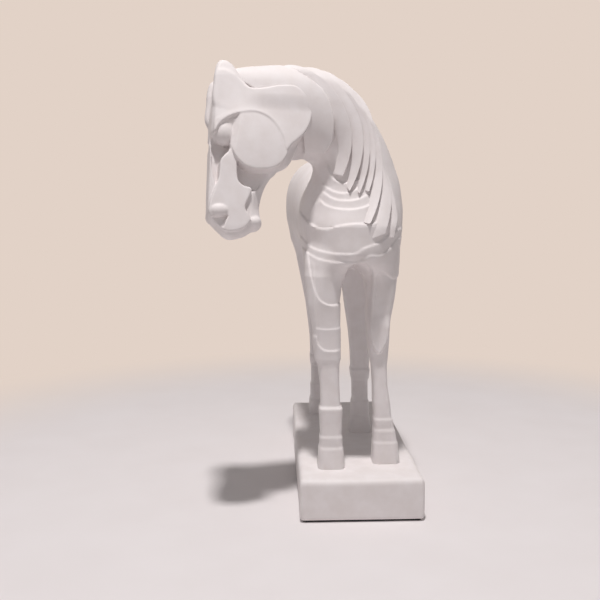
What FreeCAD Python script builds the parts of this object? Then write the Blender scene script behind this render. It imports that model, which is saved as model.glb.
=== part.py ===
"""Standing horse statuette on a rectangular plinth, cast in white resin and plaster.

The horse looks along -Y, its left side is +X, and its head is turned to its right (-X).
Millimetres, +Z up. The origin is the centre of the footprint, on the surface it stands on.
"""
import FreeCAD
import Part
import math
import os

V = FreeCAD.Vector

# ---- plinth -------------------------------------------------------------------------------
plinth_width = 100.0          # X
plinth_length = 250.0         # Y
deck_height = 35.0            # the top of the plinth above the surface
plinth_corner = 3.0           # vertical corner radius
plinth_edge = 2.0             # rounding of the top and bottom edges
sheet_thickness = 1.5         # anti-slip sheet under the plinth
sheet_inset = 3.0             # how far the sheet stays inside the plinth's outline

# ---- fixing rods that tie the four legs to the plinth ---------------------------------------
rod_diameter = 4.0
rod_reach = 26.0              # how far a rod runs up inside its leg
rod_clearance = 0.15          # round the rod, in its bore
nut_across_flats = 7.0
nut_height = 3.2
washer_diameter = 12.0
washer_thickness = 1.0
counterbore_depth = 9.0       # under the plinth, holds washer and nut
counterbore_clearance = 1.0

# ---- dowels between the castings --------------------------------------------------------------
dowel_diameter = 5.0
dowel_length = 28.0
dowel_clearance = 0.1
dowel_end_gap = 0.5
tail_dowel_diameter = 3.0
tail_dowel_length = 14.0

# ---- seams ------------------------------------------------------------------------------------
neck_seat_height = 231.0      # flat seat of the neck on the chest
withers_seat = 12.0           # Y of the upright seat of the neck against the back
foreleg_seat_height = 192.0   # flat seat of the forelegs under the chest
hindleg_seat_height = 214.0   # flat seat of the hind legs under the haunches

# ---- steps of the carving -----------------------------------------------------------------------
ledge = 1.3                   # how far each carved step stands out
chamfer_share = 0.28          # part of a leg's half size that its corners lose

# ---- foreleg, (height, across, along): half sizes of its chamfered square section ----------------
foreleg_hoof_half = 11.0
foreleg_depth = 9.0           # half size of a cannon from front to back
foreleg_seat_depth = 18.0
forearm_lean = 5.0            # how far back the seat of a foreleg lies from its hoof
hoof_top = 52.5
pastern_top = 61.0
fetlock_top = 85.0
knee_bottom = 123.0
knee_middle = 133.0
knee_top = 150.0
left_foreleg_at = (23.5, -77.0)      # middle of the hoof
right_foreleg_at = (-23.5, -88.0)
left_foreleg_line = (18.0, 18.0, 20.0)     # X of cannon, knee and seat: this leg stands slanted
right_foreleg_line = (-24.0, -25.5, -26.5)
left_foreleg_halves = (6.2, 8.8, 15.0)     # half widths of cannon, knee and seat
right_foreleg_halves = (7.8, 10.6, 16.5)

# ---- hind legs ------------------------------------------------------------------------------------
hind_hoof_half = 10.5
hind_cannon_half = 7.0
hock_half = 8.6
thigh_half = 20.0
hock_height = 93.0
left_hindleg_at = (14.0, 14.0)       # this leg steps forward
right_hindleg_at = (-23.5, 86.0)
left_haunch = (14.0, 62.0)           # middle of the thigh's seat
right_haunch = (-29.0, 82.0)

# ---- barrel: Y, centre X, centre Z, half width, half height ---------------------------------------
BARREL = [
    (-72.0, -3.0, 226.0, 32.0, 24.0),
    (-30.0, -3.0, 236.0, 42.0, 42.0),
    (10.0, -3.0, 244.0, 47.0, 47.0),
    (50.0, -6.0, 246.0, 46.0, 46.0),
    (84.0, -10.0, 243.0, 46.0, 51.0),
    (106.0, -12.0, 252.0, 36.0, 35.0),
    (115.0, -12.0, 252.0, 20.0, 20.0),
]
barrel_fullness = 2.4

# ---- chest terraces: the ledges, as shares of the height from the forelegs' seat to the neck's --------
CHEST_LEDGES = [0.0, 0.33, 0.49, 1.0]
chest_centre = (-3.5, -52.0)
chest_half_width = 38.5
chest_half_length = 54.0
chest_fullness = 2.1
chest_taper = 1.2             # how much a terrace draws in from its foot to its ledge
chest_undercut = 6.0          # how much the lowest terrace draws in at its underside
undercut_height = 5.0

# ---- shoulders: rise over the foreleg's seat, shift towards the middle and back, half sizes -----------
SHOULDER = [
    (0.0, 0.0, 0.0, 0.0, 0.0),
    (20.0, 1.0, 4.5, 1.2, 7.5),
    (34.0, 3.0, 12.5, 0.5, 11.5),
]

# ---- neck: share of its length, centre X Y Z, lean of the crest over +X, half sizes ---------------
NECK = [
    (0.0, -3.0, -50.0, neck_seat_height, 0.0, 38.5, 51.0),
    (0.2, -2.0, -50.0, 262.0, 12.0, 38.0, 41.0),
    (0.4, -9.0, -57.0, 295.0, 36.0, 31.0, 31.0),
    (0.6, -29.0, -67.0, 317.0, 68.0, 31.0, 24.0),
    (0.8, -53.0, -77.0, 321.0, 90.0, 32.0, 20.0),
    (1.0, -76.0, -86.0, 321.0, 97.0, 32.0, 18.0),
]
NECK_LEDGES = [0.0, 0.10, 0.145, 0.185, 0.24]     # shares of the length where a terrace ends
neck_terrace = 1.2

# ---- mane -------------------------------------------------------------------------------------------
lock_thickness = 4.4          # at the edge that overhangs the next lock
lock_tuck = 1.4               # at the edge that starts under the lock before
lock_gap = 0.004              # share of the neck's length left between two locks
lock_glue = 0.25              # glue line between the neck and the edges of a lock
root_angle = -30.0            # where the locks start, over the far side of the crest
# right edge of each lock: angle round the neck and share of its length, at the crest and
# at the tip; then the angle where its left edge leaves the lock before; then its left tip
LOCKS = [
    ((36.0, 0.686), (106.0, 0.269), 84.0, (121.0, 0.302)),
    ((37.0, 0.590), (99.0, 0.188), 91.0, (103.0, 0.215)),
    ((39.0, 0.531), (89.0, 0.170), 84.0, (91.0, 0.180)),
    ((42.0, 0.455), (79.0, 0.170), 77.0, (82.0, 0.180)),
    ((43.0, 0.405), (79.0, 0.025), 72.0, (84.0, 0.035)),
    ((45.0, 0.303), (62.0, -0.035), 63.0, (75.0, -0.060)),
    ((40.0, 0.170), (50.0, -0.055), 50.0, (54.0, -0.060)),
]
STRAP_FRONT = [(-30.0, 0.97), (20.0, 0.95), (63.0, 0.86), (91.0, 0.71), (120.0, 0.68), (149.0, 0.637)]
STRAP_BACK = [(-30.0, 0.73), (20.0, 0.725), (55.0, 0.64), (80.0, 0.55), (107.0, 0.47), (121.0, 0.455)]

# ---- head, in its own frame: x towards the face, z towards the poll, y to its left ------------------
head_centre = (-83.4, -99.0, 288.5)
head_turn = 12.0              # degrees that the face turns from -X towards -Y
head_roll = 17.0              # degrees that the far side hangs lower
skull_half = 13.5
muzzle_half = 11.0
cheek_half = 17.0
helmet_half = 19.5
cheek_radius = 21.5
cheek_at = (-1.0, 2.0)
ear_thickness = 5.0
ear_spread = 12.0
SKULL = [(-28, -8), (-42, 26), (-36, 46), (-8, 50), (24, 50), (31, 34), (34, 10), (36, -16), (39, -44),
         (33, -57), (23, -67), (14, -67), (2, -58), (-1, -44), (-6, -29), (-15, -17)]
HELMET = [(-19, -3), (-32, 8), (-42, 22), (-40, 36), (-30, 45), (-12, 46), (4, 45), (16, 51),
          (27, 46), (29, 28), (29, 12), (24, 19), (13, 23), (1, 24), (-8, 19), (-16, 10)]
MUZZLE = [(19, -12), (29, -14), (35, -20), (39, -42), (33, -57), (25, -66), (15, -65), (8, -58),
          (11, -47), (6, -32), (16, -30)]
EAR = [(0.0, 9.5, 48.0, 12.5), (0.5, 17.5, 58.0, 9.0), (1.0, 23.0, 71.0, 2.2)]

# ---- tail -------------------------------------------------------------------------------------------
# centre X Y Z, half width, half thickness
TAIL = [
    (-12.0, 112.0, 274.0, 4.5, 4.5),
    (-12.0, 119.0, 250.0, 7.0, 4.5),
    (-12.0, 119.5, 190.0, 8.0, 4.5),
    (-12.0, 118.0, 130.0, 6.0, 4.0),
    (-12.0, 115.0, 92.0, 2.0, 2.0),
]


# ---- sections and lofts -----------------------------------------------------------------------------
def oval(centre, axis_a, axis_b, half_a, half_b, fullness=2.0, count=8):
    """A smooth closed section: an ellipse for fullness 2, squarer above that."""
    points = []
    for i in range(count):
        angle = 2 * math.pi * i / count
        c, s = math.cos(angle), math.sin(angle)
        a = math.copysign(abs(c) ** (2 / fullness), c) * half_a
        b = math.copysign(abs(s) ** (2 / fullness), s) * half_b
        points.append(centre + axis_a * a + axis_b * b)
    curve = Part.BSplineCurve()
    curve.interpolate(points, PeriodicFlag=True)
    return Part.Wire(curve.toShape())


def octagon(x, y, z, half_x, half_y):
    """A level square section with cut corners, as the legs have."""
    cut_x, cut_y = half_x * (1 - chamfer_share), half_y * (1 - chamfer_share)
    corners = [(half_x, -cut_y), (half_x, cut_y), (cut_x, half_y), (-cut_x, half_y),
               (-half_x, cut_y), (-half_x, -cut_y), (-cut_x, -half_y), (cut_x, -half_y)]
    points = [V(x + dx, y + dy, z) for dx, dy in corners]
    return Part.makePolygon(points + points[:1])


def loft(sections, ruled=False):
    return Part.makeLoft(sections, True, ruled)


def joined(shapes):
    """Fuse solids one after another and clean away the inner edges."""
    result = shapes[0]
    for shape in shapes[1:]:
        result = result.fuse(shape)
    return result.removeSplitter()


def largest(shape):
    return max(shape.Solids, key=lambda solid: solid.Volume)


def rod(x, y, bottom, top, diameter):
    return Part.makeCylinder(diameter / 2, top - bottom, V(x, y, bottom))


def pin(centre, direction, diameter, length):
    """A round pin of this length, centred on a point."""
    axis = V(*direction).normalize()
    return Part.makeCylinder(diameter / 2, length, V(*centre) - axis * (length / 2), axis)


def pin_hole(centre, direction, diameter, length):
    return pin(centre, direction, diameter + 2 * dowel_clearance, length + 2 * dowel_end_gap)


def follow(table, share):
    """Smooth values between the rows of a table whose first column is the share."""
    rows = [row for row in table]
    if share <= rows[0][0]:
        low, high = rows[0], rows[1]
        k = (share - low[0]) / (high[0] - low[0])
        return [a + (b - a) * k for a, b in zip(low[1:], high[1:])]
    i = max(j for j in range(len(rows) - 1) if rows[j][0] <= share or j == 0)
    before, low, high = rows[max(i - 1, 0)], rows[i], rows[i + 1]
    after = rows[min(i + 2, len(rows) - 1)]
    k = (share - low[0]) / (high[0] - low[0])
    values = []
    for p, q, r, s in zip(before[1:], low[1:], high[1:], after[1:]):
        m0 = (r - p) / 2
        m1 = (s - q) / 2
        values.append((2 * k**3 - 3 * k**2 + 1) * q + (k**3 - 2 * k**2 + k) * m0
                      + (3 * k**2 - 2 * k**3) * r + (k**3 - k**2) * m1)
    return values


# ---- legs -------------------------------------------------------------------------------------------
def stepped(segments):
    """Stacked tapering blocks: a ledge is left wherever one block is wider than the next."""
    blocks = []
    for segment in segments:
        blocks.append(loft([octagon(*station) for station in segment], ruled=True))
    return joined(blocks)


def foreleg(at, line, halves):
    """Hoof, pastern, fetlock, cannon, the two steps of the knee, and the forearm."""
    x, y = at
    cannon_x, knee_x, seat_x = line
    cannon, knee, seat_half = halves
    hoof, deep = foreleg_hoof_half, foreleg_depth
    return stepped([
        [(x, y, deck_height, hoof, hoof), (x, y, hoof_top, hoof - ledge, hoof - ledge)],
        [(x, y, hoof_top, hoof - 2 * ledge, hoof - 2 * ledge),
         ((x + cannon_x) / 2, y, pastern_top, cannon + ledge, deep + ledge)],
        [((x + cannon_x) / 2, y, pastern_top, cannon + ledge / 2, deep + ledge / 2),
         (cannon_x, y, fetlock_top, cannon + ledge, deep + ledge)],
        [(cannon_x, y, fetlock_top, cannon, deep), (cannon_x, y, knee_bottom, cannon, deep)],
        [(knee_x, y, knee_bottom, knee - ledge, deep + ledge), (knee_x, y, knee_middle, knee, deep + 2 * ledge)],
        [(knee_x, y, knee_middle, knee - ledge / 2, deep + ledge),
         (knee_x, y, knee_top, knee, deep + 3 * ledge)],
        [(knee_x, y, knee_top, knee - ledge / 2, deep + 2 * ledge),
         (seat_x, y + forearm_lean, foreleg_seat_height, seat_half, foreleg_seat_depth)],
    ])


def hindleg(at, haunch):
    """A hind leg whose hoof stands at one place and whose thigh meets the haunch at another."""
    x, y = at
    hx, hy = haunch
    hoof, cannon, hock, thigh = hind_hoof_half, hind_cannon_half, hock_half, thigh_half
    hock_y = y + 9.0
    return stepped([
        [(x, y, deck_height, hoof, hoof), (x, y, hoof_top - 3.0, hoof - ledge, hoof - ledge)],
        [(x, y, hoof_top - 3.0, cannon + ledge, cannon + ledge),
         (x, y + 2.0, pastern_top + 3.0, cannon + ledge, cannon + ledge)],
        [(x, y + 2.0, pastern_top + 3.0, cannon, cannon),
         (x, hock_y, hock_height - 10.0, cannon, cannon + 1.0)],
        [(x, hock_y, hock_height - 10.0, hock - ledge, hock), (x, hock_y, hock_height, hock, hock + 2.5)],
        [(x, hock_y, hock_height, hock - ledge / 2, hock + 1.5),
         (x + (hx - x) * 0.3, hock_y + (hy - hock_y) * 0.25, 128.0, hock + 1.5, hock + 4.0),
         (x + (hx - x) * 0.7, hock_y + (hy - hock_y) * 0.7, 172.0, thigh - 6.0, thigh - 2.0),
         (hx, hy, hindleg_seat_height, thigh, thigh + 7.0)],
    ])


def tail_section(x, y, z, half_width, half_thickness):
    """A level lozenge with blunt sides, thickest along its middle."""
    outline = [(-1, -0.4), (0, -1), (1, -0.4), (1, 0.4), (0, 1), (-1, 0.4)]
    points = [V(x + a * half_width, y + b * half_thickness, z) for a, b in outline]
    return Part.makePolygon(points + points[:1])


# ---- torso --------------------------------------------------------------------------------------------
def barrel():
    sections = []
    for y, x, z, half_width, half_height in BARREL:
        sections.append(oval(V(x, y, z), V(1, 0, 0), V(0, 0, 1), half_width, half_height,
                             barrel_fullness))
    return loft(sections)


def chest_terraces():
    """Slabs stacked like contour lines: each lower one stands out by one ledge."""
    slabs = []
    steps = len(CHEST_LEDGES) - 1
    rise = neck_seat_height - foreleg_seat_height
    for i in range(steps):
        out = (steps - 1 - i) * ledge
        foot, top = [foreleg_seat_height + rise * share for share in CHEST_LEDGES[i:i + 2]]
        stations = [(foot, 0.0), (top, chest_taper)]
        if i == 0:
            stations = [(foot, chest_undercut), (foot + undercut_height, 0.0), (top, chest_taper)]
        sections = []
        for z, draw in stations:
            sections.append(oval(V(*chest_centre, z), V(1, 0, 0), V(0, 1, 0),
                                 chest_half_width + out - draw, chest_half_length + out - draw,
                                 chest_fullness))
        slabs.append(loft(sections, ruled=True))
    return joined(slabs)


def shoulder(at, line, halves):
    """The block that carries a foreleg's lines on from its seat up into the chest."""
    seat_x, seat_y = line[2], at[1] + forearm_lean
    inward = -math.copysign(1.0, seat_x)
    rise = neck_seat_height - foreleg_seat_height
    sections = []
    for up, aside, back, wider, longer in SHOULDER:
        z = foreleg_seat_height + min(up, rise - ledge)
        sections.append(octagon(seat_x + inward * aside, seat_y + back, z,
                                halves[2] + wider, foreleg_seat_depth + longer))
    return loft(sections, ruled=True)


def front_block():
    """The space over the chest and before the withers that belongs to the neck casting."""
    size = 2 * plinth_length
    block = Part.makeBox(size, size, size)
    block.translate(V(-size / 2, withers_seat - size, neck_seat_height))
    return block


# ---- neck ---------------------------------------------------------------------------------------------
def neck_section(share, grow=0.0):
    x, y, z, lean, half_crest, half_side = follow(NECK, share)
    crest = V(math.cos(math.radians(lean)), 0, math.sin(math.radians(lean)))
    return oval(V(x, y, z), crest, V(0, -1, 0), half_crest + grow, half_side + grow, 2.1)


def terrace_growth(share):
    """How far the terraces stand out of the neck's plain shape, as one smooth slope."""
    left = 1.0 - share / NECK_LEDGES[-1]
    return neck_terrace * (len(NECK_LEDGES) - 1) * min(max(left, 0.0), 1.0)


def neck_point(share, angle, lift):
    """A point over the neck: the angle runs from the crest round its left side to the throat."""
    x, y, z, lean, half_crest, half_side = follow(NECK, share)
    lift += terrace_growth(share)
    crest = V(math.cos(math.radians(lean)), 0, math.sin(math.radians(lean)))
    c, s = math.cos(math.radians(angle)), math.sin(math.radians(angle))
    return V(x, y, z) + crest * ((half_crest + lift) * c) + V(0, -1, 0) * ((half_side + lift) * s)


def neck_core():
    parts = []
    steps = len(NECK_LEDGES) - 1
    for i in range(steps):
        grow = (steps - i) * neck_terrace
        low, high = NECK_LEDGES[i], NECK_LEDGES[i + 1]
        parts.append(loft([neck_section(low, grow), neck_section(high, grow - neck_terrace / 3)]))
    upper = [NECK_LEDGES[-1] - 0.03, 0.32, 0.44, 0.56, 0.68, 0.8, 0.9, 1.0]
    parts.append(loft([neck_section(share) for share in upper]))
    return joined(parts)


# ---- mane ---------------------------------------------------------------------------------------------
def edge_at(points, share):
    """A place along an edge given as (angle, share) points spread evenly along it."""
    span = share * (len(points) - 1)
    i = min(int(span), len(points) - 2)
    k = span - i
    return tuple(a + (b - a) * k for a, b in zip(points[i], points[i + 1]))


def lock_slab(left, right, stations=9, tip_share=0.45):
    """A slab over the neck between two edges, thin where it starts and thick where it overhangs."""
    sections = []
    for i in range(stations):
        share = i / (stations - 1)
        thin = 1.0 - (1.0 - tip_share) * share**3
        (angle_l, along_l), (angle_r, along_r) = edge_at(left, share), edge_at(right, share)
        start = neck_point(along_l - lock_gap, angle_l, lock_glue)
        end = neck_point(along_r, angle_r, lock_glue)
        angle_m, along_m = (angle_l + angle_r) / 2, (along_l + along_r) / 2
        outward = (neck_point(along_m, angle_m, 1.0) - neck_point(along_m, angle_m, 0.0)).normalize()
        corners = [start, end, end + outward * (lock_thickness * thin),
                   start + outward * (lock_tuck * thin)]
        sections.append(Part.makePolygon(corners + corners[:1]))
    return loft(sections, ruled=True)


def crest_to_tip(crest, tip):
    """The right edge of a lock: level over the crest, then straight down to its tip."""
    (angle_c, along_c), (angle_t, along_t) = crest, tip
    points = [(root_angle, along_c), (0.0, along_c), (angle_c * 0.6, along_c)]
    points += [(angle_c + (angle_t - angle_c) * k / 5, along_c + (along_t - along_c) * k / 5)
               for k in range(6)]
    return points


def lock_edges():
    """Left and right edges of every lock, the left one following the lock before."""
    edges = []
    before = (LOCKS[0][0][0], 0.735), (121.0, 0.455)
    for crest, tip, leave, left_tip in LOCKS:
        (a0, t0), (a1, t1) = before
        leave = min(leave, a1)
        t_leave = t0 + (t1 - t0) * (leave - a0) / (a1 - a0)
        left = [(root_angle, t0), (0.0, t0), (crest[0] * 0.6, t0)]
        left += [(a0 + (leave - a0) * k / 3, t0 + (t_leave - t0) * k / 3) for k in range(4)]
        left += [(leave + (left_tip[0] - leave) * k / 2, t_leave + (left_tip[1] - t_leave) * k / 2)
                 for k in (1, 2)]
        edges.append((left, crest_to_tip(crest, tip)))
        before = crest, tip
    return edges


# ---- head ---------------------------------------------------------------------------------------------
def head_placement():
    turn, roll = math.radians(head_turn), math.radians(head_roll)
    face = V(-math.cos(turn), -math.sin(turn), 0)
    side = V(math.sin(turn) * math.cos(roll), -math.cos(turn) * math.cos(roll), math.sin(roll))
    up = face.cross(side)
    return FreeCAD.Placement(V(*head_centre), FreeCAD.Rotation(face, side, up, "XYZ"))


def plate(outline, half, smooth=True):
    """A side outline of the head, the same thickness to both sides of its middle."""
    points = [V(x, -half, z) for x, z in outline]
    if smooth:
        curve = Part.BSplineCurve()
        curve.interpolate(points, PeriodicFlag=True)
        wire = Part.Wire(curve.toShape())
    else:
        wire = Part.makePolygon(points + points[:1])
    return Part.Face(wire).extrude(V(0, 2 * half, 0))


def front_taper(grow):
    """The head from the front: widest at the cheeks, narrow at the nose."""
    half = [(-80, muzzle_half - 4), (-45, muzzle_half), (-15, skull_half), (20, cheek_half),
            (50, cheek_half - 2), (90, cheek_half - 3)]
    right = [V(-80, w + grow, z) for z, w in half]
    left = [V(-80, -w - grow, z) for z, w in reversed(half)]
    return Part.Face(Part.makePolygon(right + left + right[:1])).extrude(V(160, 0, 0))


def ear(side):
    sections = []
    for lean, x, z, half in EAR:
        y = side * (ear_spread + 3.0 * lean)
        sections.append(oval(V(x, y, z), V(0.8, 0, -0.6), V(0, 1, 0), half, ear_thickness * (1 - 0.6 * lean)))
    return loft(sections)


def head():
    skull = plate(SKULL, skull_half).common(front_taper(0.0))
    helmet = plate(HELMET, helmet_half).common(front_taper(3.0))
    muzzle = plate(MUZZLE, muzzle_half).common(front_taper(2.0))
    cheek = Part.makeCylinder(cheek_radius, 2 * cheek_half, V(cheek_at[0], -cheek_half, cheek_at[1]), V(0, 1, 0))
    front_of_cheek = Part.makeBox(40, 80, 90, V(14, -40, -45))
    front_of_cheek.rotate(V(14, 0, 0), V(0, 1, 0), 8)
    cheek = cheek.cut(front_of_cheek)
    bumps = [skull, helmet, muzzle, cheek]
    for side in (-1, 1):
        bumps.append(ear(side))
        bumps.append(Part.makeSphere(9.5, V(24, side * 8.5, 12)))
        bumps.append(Part.makeSphere(6.5, V(32, side * 7.5, -48)))
        bumps.append(Part.makeSphere(5.5, V(5, side * 5.0, -55)))
    return largest(joined(bumps))


# ---- plinth and its fixings -----------------------------------------------------------------------------
LEG_FEET = [left_foreleg_at, right_foreleg_at, left_hindleg_at, right_hindleg_at]
plinth_bottom = sheet_thickness
seat_of_washer = plinth_bottom + counterbore_depth


def plinth():
    block = Part.makeBox(plinth_width, plinth_length, deck_height - plinth_bottom)
    block.translate(V(-plinth_width / 2, -plinth_length / 2, plinth_bottom))
    upright = [e for e in block.Edges if abs(e.Vertexes[0].Z - e.Vertexes[1].Z) > 1]
    block = block.makeFillet(plinth_corner, upright)
    level = [e for e in block.Edges if abs(e.BoundBox.ZMax - e.BoundBox.ZMin) < 1e-6]
    block = block.makeFillet(plinth_edge, level)
    for x, y in LEG_FEET:
        block = block.cut(rod(x, y, 0, deck_height + 1, rod_diameter + 2 * rod_clearance))
        block = block.cut(rod(x, y, 0, seat_of_washer, washer_diameter + 2 * counterbore_clearance))
    return block


def anti_slip_sheet():
    width = plinth_width - 2 * sheet_inset
    length = plinth_length - 2 * sheet_inset
    sheet = Part.makeBox(width, length, sheet_thickness, V(-width / 2, -length / 2, 0))
    return sheet.makeFillet(plinth_corner, [e for e in sheet.Edges if abs(e.Vertexes[0].Z - e.Vertexes[1].Z) > 1])


def nut(x, y):
    corner = nut_across_flats / math.sqrt(3)
    points = [V(x + corner * math.cos(math.radians(60 * i)), y + corner * math.sin(math.radians(60 * i)),
                seat_of_washer - washer_thickness - nut_height) for i in range(6)]
    body = Part.Face(Part.makePolygon(points + points[:1])).extrude(V(0, 0, nut_height))
    return body.cut(rod(x, y, 0, deck_height, rod_diameter + 2 * rod_clearance))


def washer(x, y):
    bottom = seat_of_washer - washer_thickness
    ring = rod(x, y, bottom, seat_of_washer, washer_diameter)
    return ring.cut(rod(x, y, 0, deck_height, rod_diameter + 2 * rod_clearance))


def fixing_rod(x, y):
    bottom = seat_of_washer - washer_thickness - nut_height - 1.5
    return rod(x, y, bottom, deck_height + rod_reach, rod_diameter)


def rod_bore(x, y):
    return rod(x, y, 0, deck_height + rod_reach + dowel_end_gap, rod_diameter + 2 * rod_clearance)


# ---- assembly --------------------------------------------------------------------------------------------
nodes = {}
legs = {
    "foreleg_left": foreleg(left_foreleg_at, left_foreleg_line, left_foreleg_halves),
    "foreleg_right": foreleg(right_foreleg_at, right_foreleg_line, right_foreleg_halves),
    "hindleg_left": hindleg(left_hindleg_at, left_haunch),
    "hindleg_right": hindleg(right_hindleg_at, right_haunch),
}
whole_barrel = barrel()
over_chest = front_block()
torso = joined([whole_barrel.cut(over_chest), chest_terraces(),
                shoulder(left_foreleg_at, left_foreleg_line, left_foreleg_halves),
                shoulder(right_foreleg_at, right_foreleg_line, right_foreleg_halves)])
for leg in legs.values():
    torso = torso.cut(leg)
torso = largest(torso)
neck = joined([neck_core(), whole_barrel.common(over_chest)]).common(over_chest)
neck = largest(neck)
skull = head()
skull.Placement = head_placement()

UPRIGHT = (0, 0, 1)
left_seat = (left_foreleg_line[2], left_foreleg_at[1] + forearm_lean, foreleg_seat_height)
right_seat = (right_foreleg_line[2], right_foreleg_at[1] + forearm_lean, foreleg_seat_height)
DOWELS = {
    "leg_dowels": [(left_seat, UPRIGHT), (right_seat, UPRIGHT),
                   ((*left_haunch, hindleg_seat_height), UPRIGHT),
                   ((*right_haunch, hindleg_seat_height), UPRIGHT)],
    "neck_dowels": [((0.0, -76.0, neck_seat_height), UPRIGHT), ((0.0, -20.0, neck_seat_height), UPRIGHT)],
    "head_dowel": [((-66.0, -90.0, 312.0), (-1, -0.2, 0))],
}
neck = largest(neck.cut(skull))
for name, places in DOWELS.items():
    nodes[name] = [pin(at, way, dowel_diameter, dowel_length) for at, way in places]
    for at, way in places:
        hole = pin_hole(at, way, dowel_diameter, dowel_length)
        torso = torso.cut(hole)
        neck = neck.cut(hole)
        skull = skull.cut(hole)
        for leg_name in legs:
            legs[leg_name] = legs[leg_name].cut(hole)
for (leg_name, leg), (x, y) in zip(list(legs.items()), LEG_FEET):
    legs[leg_name] = leg.cut(rod_bore(x, y))

tail = loft([tail_section(*row) for row in TAIL], ruled=True)
tail = largest(tail.cut(torso))
tail_at = (-12.0, 113.0, 252.0)
tail_hole = pin_hole(tail_at, (0, 1, 0), tail_dowel_diameter, tail_dowel_length)
nodes["tail_dowel"] = [pin(tail_at, (0, 1, 0), tail_dowel_diameter, tail_dowel_length)]
tail = tail.cut(tail_hole)
torso = torso.cut(tail_hole)

nodes.update({name: [leg] for name, leg in legs.items()})
nodes["torso_casting"] = [torso]
nodes["neck_casting"] = [neck]
nodes["head_casting"] = [skull]
nodes["tail_casting"] = [tail]

strap = lock_slab(STRAP_FRONT, STRAP_BACK, stations=11, tip_share=0.8)
nodes["poll_strap"] = [largest(strap.cut(skull))]
for i, (left, right) in enumerate(lock_edges(), start=1):
    nodes["mane_lock_%d" % i] = [lock_slab(left, right)]

nodes["plinth_block"] = [plinth()]
nodes["anti_slip_sheet"] = [anti_slip_sheet()]
nodes["leg_rods"] = [fixing_rod(x, y) for x, y in LEG_FEET]
nodes["rod_washers"] = [washer(x, y) for x, y in LEG_FEET]
nodes["rod_nuts"] = [nut(x, y) for x, y in LEG_FEET]

os.makedirs("parts", exist_ok=True)
for name, solids in nodes.items():
    shape = solids[0] if len(solids) == 1 else Part.makeCompound(solids)
    shape.exportStep("parts/%s.step" % name)
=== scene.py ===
"""Standing horse statuette, cast in white resin and mounted on a plinth.

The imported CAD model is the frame. Each section below makes one piece, or one group of like pieces,
in the order in which the statuette is put together. Shapes are worked out in millimetres, with the
origin at the middle of the footprint, and become metres when their mesh is made.
"""
import bpy
import math
import numpy as np
from mathutils import Matrix


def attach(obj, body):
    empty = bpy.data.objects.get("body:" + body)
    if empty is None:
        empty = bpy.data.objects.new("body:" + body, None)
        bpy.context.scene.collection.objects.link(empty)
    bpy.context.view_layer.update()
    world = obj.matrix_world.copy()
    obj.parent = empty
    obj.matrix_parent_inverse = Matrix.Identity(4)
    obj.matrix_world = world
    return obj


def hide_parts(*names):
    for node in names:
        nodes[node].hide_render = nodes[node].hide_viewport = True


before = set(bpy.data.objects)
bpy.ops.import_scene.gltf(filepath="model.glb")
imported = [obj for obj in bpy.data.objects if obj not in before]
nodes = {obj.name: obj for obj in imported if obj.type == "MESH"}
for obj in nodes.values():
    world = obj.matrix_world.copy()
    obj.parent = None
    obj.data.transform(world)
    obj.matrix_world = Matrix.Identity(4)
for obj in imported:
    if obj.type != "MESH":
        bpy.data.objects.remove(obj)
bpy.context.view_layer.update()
MM = 0.001


# ---- anti-slip sheet -----------------------------------------------------------------------------
# A thin sheet of dark closed-cell rubber foam, die cut a little smaller than the plinth and glued
# under it. It shows only as a dark line along the foot of the plinth.
def linear(code):
    """An sRGB hex colour as the linear colour that a shader takes."""
    parts = [int(code[i:i + 2], 16) / 255 for i in (1, 3, 5)]
    return [c / 12.92 if c <= 0.04045 else ((c + 0.055) / 1.055) ** 2.4 for c in parts] + [1.0]


def put(tree, kind, sockets=None, **settings):
    """Add one node; a socket that is given another node's socket is linked to it."""
    node = tree.nodes.new(kind)
    for name, value in settings.items():
        setattr(node, name, value)
    for name, value in (sockets or {}).items():
        if isinstance(value, bpy.types.NodeSocket):
            tree.links.new(value, node.inputs[name])
        else:
            node.inputs[name].default_value = value
    return node


def material(name):
    """An empty node material and its output."""
    made = bpy.data.materials.new(name)
    made.use_nodes = True
    made.node_tree.nodes.clear()
    return made, made.node_tree, put(made.node_tree, "ShaderNodeOutputMaterial")


# Moulded foam rubber: matt, nearly black, with the 0.4 mm cells of its cut face.
foam, tree, out = material("closed-cell rubber foam")
spot = put(tree, "ShaderNodeTexCoord").outputs["Object"]
cells = put(tree, "ShaderNodeTexVoronoi", {"Vector": spot, "Scale": 1 / (0.4 * MM)})
tone = put(tree, "ShaderNodeValToRGB", {"Fac": cells.outputs["Distance"]})
tone.color_ramp.elements[0].color = linear("#1B1A1B")
tone.color_ramp.elements[1].color = linear("#39363A")
pits = put(tree, "ShaderNodeBump", {"Height": cells.outputs["Distance"], "Strength": 0.4,
                                    "Distance": 0.1 * MM})
skin = put(tree, "ShaderNodeBsdfPrincipled", {"Base Color": tone.outputs["Color"], "Roughness": 0.85,
                                              "IOR": 1.5, "Normal": pits.outputs["Normal"]})
tree.links.new(skin.outputs["BSDF"], out.inputs["Surface"])
nodes["anti_slip_sheet"].data.materials[0] = foam

# ---- plinth --------------------------------------------------------------------------------------
# A solid block of casting plaster, rubbed down by hand and painted white with the horse. Its edges
# are soft and not quite straight, and its top dips a little between the hooves.
PLINTH_HALF = (50.0, 125.0)
PLINTH_EDGE = 3.0
DECK = 35.0
PLINTH_FOOT = 1.5

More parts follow.
